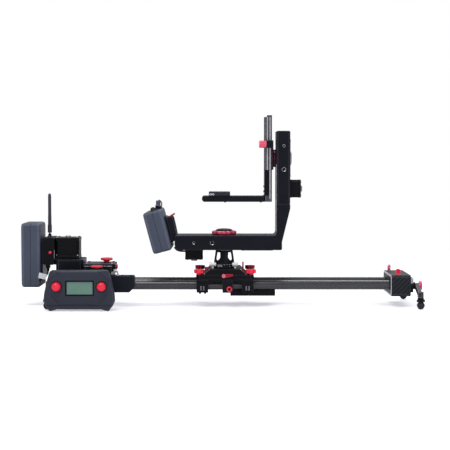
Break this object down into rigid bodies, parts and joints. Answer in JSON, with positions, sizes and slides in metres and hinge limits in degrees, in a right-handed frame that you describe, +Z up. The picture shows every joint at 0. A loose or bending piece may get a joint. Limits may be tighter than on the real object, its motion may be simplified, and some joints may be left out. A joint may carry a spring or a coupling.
{
  "type": "camera slider",
  "caption": "Motorised camera slider: twin carbon tube rail with folding legs, belt driven carriage, pan and tilt L-arm head, brick batteries and hand controller.",
  "frame": {"origin": "on the floor, in the middle of the parked slider's bounding box", "axes": "+X along the rails towards the free end, +Y away from the operator, +Z up"},
  "size_m": [0.9328, 0.2808, 0.446],
  "materials": {
    "carbon_fibre": "twill carbon tube, clear coated",
    "black_anodised": "satin black anodised",
    "red_anodised": "glossy red anodised",
    "motor_black": "black enamel",
    "black_plastic": "fine textured",
    "battery_plastic": "moulded, blue grey",
    "controller_plastic": "textured charcoal",
    "screen_glass": "grey green display window",
    "rubber": "matt moulded",
    "belt_rubber": "matt, toothed inside",
    "pulley_metal": "turned",
    "rail_metal": "gunmetal extrusion"
  },
  "bodies": {
    "rail_frame": {"tube_front": "carbon_fibre", "tube_rear": "carbon_fibre", "left_end_block": "black_anodised", "right_end_block": "black_anodised", "tripod_saddle": "black_anodised", "slide_belt": "belt_rubber", "drive_housing": "black_anodised", "slide_motor": "motor_black", "driver_box": "black_plastic"},
    "carriage": {"carriage_frame": "black_anodised", "riser_cone": "black_anodised"},
    "drive_pulley": {"drive_pulley": "pulley_metal"},
    "idler_pulley": {"idler_pulley": "pulley_metal"},
    "roller_front_left": {"roller_front_left": "pulley_metal"},
    "roller_front_right": {"roller_front_right": "pulley_metal"},
    "roller_rear_left": {"roller_rear_left": "pulley_metal"},
    "roller_rear_right": {"roller_rear_right": "pulley_metal"},
    "carriage_knob_front_left": {"carriage_knob_front_left": "red_anodised"},
    "carriage_knob_front_right": {"carriage_knob_front_right": "red_anodised"},
    "carriage_knob_rear_left": {"carriage_knob_rear_left": "red_anodised"},
    "carriage_knob_rear_right": {"carriage_knob_rear_right": "red_anodised"},
    "brake_lever": {"brake_lever": "red_anodised"},
    "carriage_lock_knob": {"carriage_lock_knob": "red_anodised"},
    "pan_arm": {"pan_arm": "black_anodised", "upper_column": "black_anodised", "pan_motor": "motor_black", "pan_belt": "belt_rubber", "tilt_motor": "motor_black", "tilt_belt": "belt_rubber"},
    "pan_pinion": {"pan_pinion": "pulley_metal"},
    "pan_wheel": {"pan_wheel": "red_anodised"},
    "arm_battery": {"arm_battery": "battery_plastic"},
    "tilt_head": {"tilt_hub": "black_anodised"},
    "tilt_pinion": {"tilt_pinion": "pulley_metal"},
    "camera_bracket": {"camera_bracket": "rail_metal"},
    "bracket_clamp_knob": {"bracket_clamp_knob": "red_anodised"},
    "left_battery": {"left_battery": "battery_plastic"},
    "antenna": {"antenna": "black_plastic"},
    "driver_button": {"driver_button": "red_anodised"},
    "housing_knob_rear": {"housing_knob_rear": "red_anodised"},
    "housing_knob_front": {"housing_knob_front": "red_anodised"},
    "end_thumbscrew_front": {"end_thumbscrew_front": "red_anodised"},
    "end_thumbscrew_rear": {"end_thumbscrew_rear": "red_anodised"},
    "leg_front_left": {"leg_front_left": "black_anodised"},
    "leg_knob_front_left": {"leg_knob_front_left": "red_anodised"},
    "foot_front_left": {"foot_front_left": "rubber"},
    "leg_front_right": {"leg_front_right": "black_anodised"},
    "leg_knob_front_right": {"leg_knob_front_right": "red_anodised"},
    "foot_front_right": {"foot_front_right": "rubber"},
    "leg_rear_left": {"leg_rear_left": "black_anodised"},
    "leg_knob_rear_left": {"leg_knob_rear_left": "red_anodised"},
    "foot_rear_left": {"foot_rear_left": "rubber"},
    "leg_rear_right": {"leg_rear_right": "black_anodised"},
    "leg_knob_rear_right": {"leg_knob_rear_right": "red_anodised"},
    "foot_rear_right": {"foot_rear_right": "rubber"},
    "controller": {"controller_front_shell": "controller_plastic", "controller_back_shell": "controller_plastic", "controller_screen": "screen_glass"},
    "controller_knob_left": {"controller_knob_left": "red_anodised"},
    "controller_knob_right": {"controller_knob_right": "red_anodised"}
  },
  "joints": [
    {"name": "carriage_slide", "type": "slide", "parent": "rail_frame", "child": "carriage", "axis": [1, 0, 0], "range_m": [-0.12, 0.3]},
    {"name": "drive_pulley_spin", "type": "hinge", "parent": "rail_frame", "child": "drive_pulley", "pos_m": [-0.3614, 0.0226, 0.05], "axis": [0, 0, 1], "continuous": true},
    {"name": "idler_pulley_spin", "type": "hinge", "parent": "rail_frame", "child": "idler_pulley", "pos_m": [0.4141, 0.0226, 0.05], "axis": [0, 0, 1], "continuous": true},
    {"name": "roller_front_left_spin", "type": "hinge", "parent": "carriage", "child": "roller_front_left", "pos_m": [-0.0429, -0.0224, 0.0684], "axis": [0, 1, 0], "continuous": true},
    {"name": "roller_front_right_spin", "type": "hinge", "parent": "carriage", "child": "roller_front_right", "pos_m": [0.0611, -0.0224, 0.0684], "axis": [0, 1, 0], "continuous": true},
    {"name": "roller_rear_left_spin", "type": "hinge", "parent": "carriage", "child": "roller_rear_left", "pos_m": [-0.0429, 0.0676, 0.0684], "axis": [0, 1, 0], "continuous": true},
    {"name": "roller_rear_right_spin", "type": "hinge", "parent": "carriage", "child": "roller_rear_right", "pos_m": [0.0611, 0.0676, 0.0684], "axis": [0, 1, 0], "continuous": true},
    {"name": "carriage_knob_front_left_turn", "type": "hinge", "parent": "carriage", "child": "carriage_knob_front_left", "pos_m": [-0.0509, -0.0374, 0.084], "axis": [0, 0, 1], "continuous": true},
    {"name": "carriage_knob_front_right_turn", "type": "hinge", "parent": "carriage", "child": "carriage_knob_front_right", "pos_m": [0.0691, -0.0374, 0.084], "axis": [0, 0, 1], "continuous": true},
    {"name": "carriage_knob_rear_left_turn", "type": "hinge", "parent": "carriage", "child": "carriage_knob_rear_left", "pos_m": [-0.0509, 0.0826, 0.084], "axis": [0, 0, 1], "continuous": true},
    {"name": "carriage_knob_rear_right_turn", "type": "hinge", "parent": "carriage", "child": "carriage_knob_rear_right", "pos_m": [0.0691, 0.0826, 0.084], "axis": [0, 0, 1], "continuous": true},
    {"name": "brake_lever_swing", "type": "hinge", "parent": "carriage", "child": "brake_lever", "pos_m": [0.0061, -0.0474, 0.073], "axis": [0, 1, 0], "range_deg": [-90, 0]},
    {"name": "carriage_lock_knob_turn", "type": "hinge", "parent": "carriage", "child": "carriage_lock_knob", "pos_m": [0.0191, -0.0524, 0.043], "axis": [0, 1, 0], "continuous": true},
    {"name": "pan", "type": "hinge", "parent": "carriage", "child": "pan_arm", "pos_m": [0.0071, 0.0226, 0.131], "axis": [0, 0, 1], "continuous": true},
    {"name": "pan_pinion_spin", "type": "hinge", "parent": "pan_arm", "child": "pan_pinion", "pos_m": [-0.0639, 0.0226, 0.145], "axis": [0, 0, 1], "continuous": true},
    {"name": "pan_wheel_turn", "type": "hinge", "parent": "pan_arm", "child": "pan_wheel", "pos_m": [0.0071, 0.0226, 0.17], "axis": [0, 0, 1], "continuous": true},
    {"name": "arm_battery_lift", "type": "slide", "parent": "pan_arm", "child": "arm_battery", "axis": [-0.2588, 0, 0.9659], "range_m": [0, 0.06]},
    {"name": "tilt", "type": "hinge", "parent": "pan_arm", "child": "tilt_head", "pos_m": [0.1221, 0.0226, 0.345], "axis": [1, 0, 0], "range_deg": [-90, 90]},
    {"name": "tilt_pinion_spin", "type": "hinge", "parent": "pan_arm", "child": "tilt_pinion", "pos_m": [0.1451, 0.0226, 0.2738], "axis": [1, 0, 0], "range_deg": [-310, 310]},
    {"name": "bracket_height", "type": "slide", "parent": "tilt_head", "child": "camera_bracket", "axis": [0, 0, 1], "range_m": [0, 0.03]},
    {"name": "bracket_clamp_knob_turn", "type": "hinge", "parent": "tilt_head", "child": "bracket_clamp_knob", "pos_m": [0.0991, -0.0068, 0.378], "axis": [1, 0, 0], "continuous": true},
    {"name": "left_battery_lift", "type": "slide", "parent": "rail_frame", "child": "left_battery", "axis": [0, 0, 1], "range_m": [0, 0.06]},
    {"name": "antenna_fold", "type": "hinge", "parent": "rail_frame", "child": "antenna", "pos_m": [-0.4049, 0.0226, 0.165], "axis": [1, 0, 0], "range_deg": [0, 85]},
    {"name": "driver_button_press", "type": "slide", "parent": "rail_frame", "child": "driver_button", "axis": [0, 1, 0], "range_m": [0, 0.0008]},
    {"name": "housing_knob_rear_turn", "type": "hinge", "parent": "rail_frame", "child": "housing_knob_rear", "pos_m": [-0.2709, 0.0226, 0.105], "axis": [0, 0, 1], "continuous": true},
    {"name": "housing_knob_front_turn", "type": "hinge", "parent": "rail_frame", "child": "housing_knob_front", "pos_m": [-0.2869, -0.0534, 0.094], "axis": [0, 0, 1], "continuous": true},
    {"name": "end_thumbscrew_front_turn", "type": "hinge", "parent": "rail_frame", "child": "end_thumbscrew_front", "pos_m": [0.4106, -0.0374, 0.082], "axis": [0, 0, 1], "continuous": true},
    {"name": "end_thumbscrew_rear_turn", "type": "hinge", "parent": "rail_frame", "child": "end_thumbscrew_rear", "pos_m": [0.4051, 0.0826, 0.082], "axis": [0, 0, 1], "continuous": true},
    {"name": "leg_front_left_fold", "type": "hinge", "parent": "rail_frame", "child": "leg_front_left", "pos_m": [-0.3947, -0.0394, 0.05], "axis": [1, 0, 0], "range_deg": [0, 90]},
    {"name": "leg_knob_front_left_turn", "type": "hinge", "parent": "leg_front_left", "child": "leg_knob_front_left", "pos_m": [-0.3947, -0.0394, 0.05], "axis": [1, 0, 0], "continuous": true},
    {"name": "foot_front_left_turn", "type": "hinge", "parent": "leg_front_left", "child": "foot_front_left", "pos_m": [-0.3972, -0.0854, 0.01], "axis": [0, 0, 1], "continuous": true},
    {"name": "leg_front_right_fold", "type": "hinge", "parent": "rail_frame", "child": "leg_front_right", "pos_m": [0.4541, -0.0394, 0.05], "axis": [1, 0, 0], "range_deg": [0, 90]},
    {"name": "leg_knob_front_right_turn", "type": "hinge", "parent": "leg_front_right", "child": "leg_knob_front_right", "pos_m": [0.4541, -0.0394, 0.05], "axis": [1, 0, 0], "continuous": true},
    {"name": "foot_front_right_turn", "type": "hinge", "parent": "leg_front_right", "child": "foot_front_right", "pos_m": [0.4566, -0.0854, 0.01], "axis": [0, 0, 1], "continuous": true},
    {"name": "leg_rear_left_fold", "type": "hinge", "parent": "rail_frame", "child": "leg_rear_left", "pos_m": [-0.3947, 0.0846, 0.05], "axis": [1, 0, 0], "range_deg": [-90, 0]},
    {"name": "leg_knob_rear_left_turn", "type": "hinge", "parent": "leg_rear_left", "child": "leg_knob_rear_left", "pos_m": [-0.3947, 0.0846, 0.05], "axis": [1, 0, 0], "continuous": true},
    {"name": "foot_rear_left_turn", "type": "hinge", "parent": "leg_rear_left", "child": "foot_rear_left", "pos_m": [-0.3972, 0.1306, 0.01], "axis": [0, 0, 1], "continuous": true},
    {"name": "leg_rear_right_fold", "type": "hinge", "parent": "rail_frame", "child": "leg_rear_right", "pos_m": [0.4443, 0.0846, 0.05], "axis": [1, 0, 0], "range_deg": [-90, 0]},
    {"name": "leg_knob_rear_right_turn", "type": "hinge", "parent": "leg_rear_right", "child": "leg_knob_rear_right", "pos_m": [0.4443, 0.0846, 0.05], "axis": [1, 0, 0], "continuous": true},
    {"name": "foot_rear_right_turn", "type": "hinge", "parent": "leg_rear_right", "child": "foot_rear_right", "pos_m": [0.4468, 0.1306, 0.01], "axis": [0, 0, 1], "continuous": true},
    {"name": "controller_lift", "type": "slide", "parent": "rail_frame", "child": "controller", "axis": [0, 0, 1], "range_m": [0, 0.1]},
    {"name": "controller_knob_left_turn", "type": "hinge", "parent": "controller", "child": "controller_knob_left", "pos_m": [-0.3704, -0.1324, 0.056], "axis": [0, 1, 0], "continuous": true},
    {"name": "controller_knob_right_turn", "type": "hinge", "parent": "controller", "child": "controller_knob_right", "pos_m": [-0.2689, -0.1324, 0.056], "axis": [0, 1, 0], "continuous": true}
  ],
  "couplings": [
    {"joint": "drive_pulley_spin", "follows": "carriage_slide", "rad_per_m": 93.023},
    {"joint": "idler_pulley_spin", "follows": "carriage_slide", "rad_per_m": 93.023},
    {"joint": "roller_front_left_spin", "follows": "carriage_slide", "rad_per_m": 140.85},
    {"joint": "roller_front_right_spin", "follows": "carriage_slide", "rad_per_m": 140.85},
    {"joint": "roller_rear_left_spin", "follows": "carriage_slide", "rad_per_m": 140.85},
    {"joint": "roller_rear_right_spin", "follows": "carriage_slide", "rad_per_m": 140.85},
    {"joint": "pan_pinion_spin", "follows": "pan", "ratio": -3.3704},
    {"joint": "tilt_pinion_spin", "follows": "tilt", "ratio": 3.3704}
  ]
}
